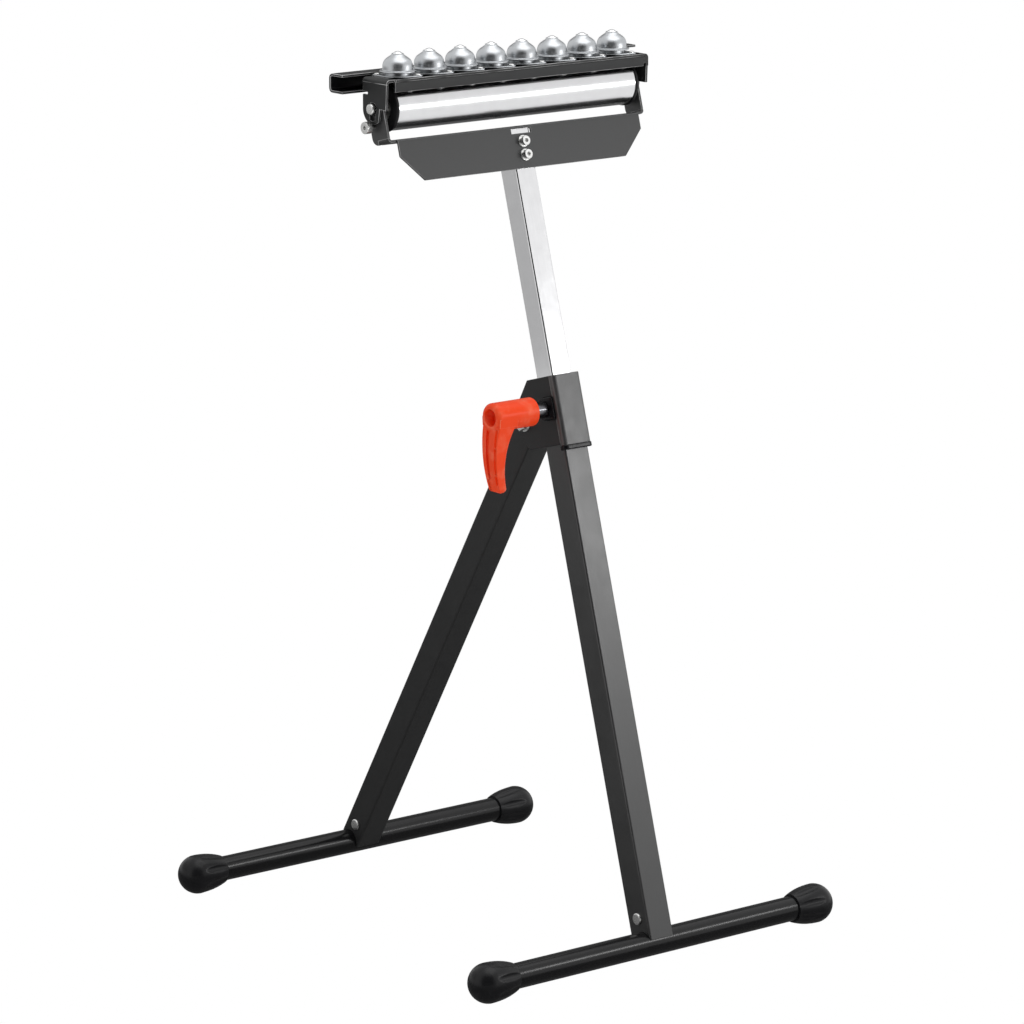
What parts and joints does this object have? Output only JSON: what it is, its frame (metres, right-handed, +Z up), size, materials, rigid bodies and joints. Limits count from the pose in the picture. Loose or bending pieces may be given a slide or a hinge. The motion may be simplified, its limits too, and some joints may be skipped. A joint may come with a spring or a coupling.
{
  "type": "roller stand",
  "caption": "Folding workshop stand with a height-adjustable mast, a clamp lever, a work roller and a flip-over deck of ball units with a guide bar.",
  "frame": {"origin": "on the floor, midway between the four feet", "axes": "+X along the feet and the roller, +Y towards the rear leg, +Z up"},
  "size_m": [0.465, 0.5204, 0.895],
  "materials": {
    "painted_steel": "satin charcoal powder coat",
    "black_painted_steel": "satin black powder coat",
    "black_plastic": "fine grain",
    "orange_plastic": "satin orange red",
    "zinc_steel": "bright zinc",
    "dark_steel": "black oxide",
    "brass": "plain",
    "bright_steel": "polished"
  },
  "bodies": {
    "base": {"main_post": "painted_steel", "post_sleeve": "black_plastic", "post_collar": "black_plastic", "left_cheek": "painted_steel", "right_cheek": "painted_steel", "front_foot_tube": "painted_steel", "front_spigot": "painted_steel", "front_cap_left": "black_plastic", "front_cap_right": "black_plastic", "front_foot_bolt": "zinc_steel", "clamp_nut": "zinc_steel", "pivot_bolt": "zinc_steel", "pivot_nut": "zinc_steel", "pivot_washers": "zinc_steel"},
    "leg": {"rear_leg": "painted_steel", "leg_bush": "zinc_steel", "rear_foot_tube": "painted_steel", "rear_spigot": "painted_steel", "rear_cap_left": "black_plastic", "rear_cap_right": "black_plastic", "rear_foot_bolt": "zinc_steel"},
    "clamp_pad": {"pressure_pad": "brass"},
    "clamp_screw": {"clamp_handle": "orange_plastic", "clamp_stud": "dark_steel"},
    "mast_head": {"mast": "zinc_steel", "mast_glide": "black_plastic", "head_bracket": "painted_steel", "plate_screws": "zinc_steel", "plate_washers": "zinc_steel", "nut_bar": "zinc_steel", "roller_axle": "zinc_steel", "axle_spacers": "zinc_steel", "stop_screws": "zinc_steel"},
    "roller": {"roller_tube": "bright_steel", "roller_end_left": "black_plastic", "roller_end_right": "black_plastic", "roller_bearings": "bright_steel"},
    "deck_pivot": {"deck_bushes": "black_plastic"},
    "deck": {"flip_deck": "painted_steel", "guide_bar": "black_painted_steel", "bar_rivets": "zinc_steel", "deck_rivets": "zinc_steel", "ball_unit_1": "bright_steel", "ball_unit_2": "bright_steel", "ball_unit_3": "bright_steel", "ball_unit_4": "bright_steel", "ball_unit_5": "bright_steel", "ball_unit_6": "bright_steel", "ball_unit_7": "bright_steel", "ball_unit_8": "bright_steel"},
    "ball_1_body": {"ball_1": "bright_steel"},
    "ball_2_body": {"ball_2": "bright_steel"},
    "ball_3_body": {"ball_3": "bright_steel"},
    "ball_4_body": {"ball_4": "bright_steel"},
    "ball_5_body": {"ball_5": "bright_steel"},
    "ball_6_body": {"ball_6": "bright_steel"},
    "ball_7_body": {"ball_7": "bright_steel"},
    "ball_8_body": {"ball_8": "bright_steel"}
  },
  "joints": [
    {"name": "leg_hinge", "type": "hinge", "parent": "base", "child": "leg", "pos_m": [0, -0.05703, 0.5182], "axis": [-1, 0, 0], "range_deg": [0, 46.5]},
    {"name": "mast_slide", "type": "slide", "parent": "base", "child": "mast_head", "axis": [0, 0.2733, 0.9619], "range_m": [-0.2, 0.2]},
    {"name": "pad_slide", "type": "slide", "parent": "base", "child": "clamp_pad", "axis": [1, 0, 0], "range_m": [-0.00125, 0]},
    {"name": "clamp_turn", "type": "hinge", "parent": "clamp_pad", "child": "clamp_screw", "pos_m": [0, -0.09099, 0.53772], "axis": [1, 0, 0], "range_deg": [-360, 0]},
    {"name": "roller_spin", "type": "hinge", "parent": "mast_head", "child": "roller", "pos_m": [0, -0.00496, 0.84054], "axis": [1, 0, 0], "continuous": true},
    {"name": "deck_flip", "type": "hinge", "parent": "mast_head", "child": "deck_pivot", "pos_m": [0, -0.00496, 0.84054], "axis": [1, 0, 0], "range_deg": [-90, 90]},
    {"name": "deck_lift", "type": "slide", "parent": "deck_pivot", "child": "deck", "axis": [0, 0, 1], "range_m": [0, 0.0054]},
    {"name": "ball_1_spin", "type": "hinge", "parent": "deck", "child": "ball_1_body", "pos_m": [-0.1365, -0.00715, 0.88869], "axis": [1, 0, 0], "continuous": true},
    {"name": "ball_2_spin", "type": "hinge", "parent": "deck", "child": "ball_2_body", "pos_m": [-0.0975, -0.00715, 0.88869], "axis": [1, 0, 0], "continuous": true},
    {"name": "ball_3_spin", "type": "hinge", "parent": "deck", "child": "ball_3_body", "pos_m": [-0.0585, -0.00715, 0.88869], "axis": [1, 0, 0], "continuous": true},
    {"name": "ball_4_spin", "type": "hinge", "parent": "deck", "child": "ball_4_body", "pos_m": [-0.0195, -0.00715, 0.88869], "axis": [1, 0, 0], "continuous": true},
    {"name": "ball_5_spin", "type": "hinge", "parent": "deck", "child": "ball_5_body", "pos_m": [0.0195, -0.00715, 0.88869], "axis": [1, 0, 0], "continuous": true},
    {"name": "ball_6_spin", "type": "hinge", "parent": "deck", "child": "ball_6_body", "pos_m": [0.0585, -0.00715, 0.88869], "axis": [1, 0, 0], "continuous": true},
    {"name": "ball_7_spin", "type": "hinge", "parent": "deck", "child": "ball_7_body", "pos_m": [0.0975, -0.00715, 0.88869], "axis": [1, 0, 0], "continuous": true},
    {"name": "ball_8_spin", "type": "hinge", "parent": "deck", "child": "ball_8_body", "pos_m": [0.1365, -0.00715, 0.88869], "axis": [1, 0, 0], "continuous": true}
  ],
  "couplings": [
    {"joint": "pad_slide", "follows": "clamp_turn", "m_per_rad": 0.00019894}
  ]
}
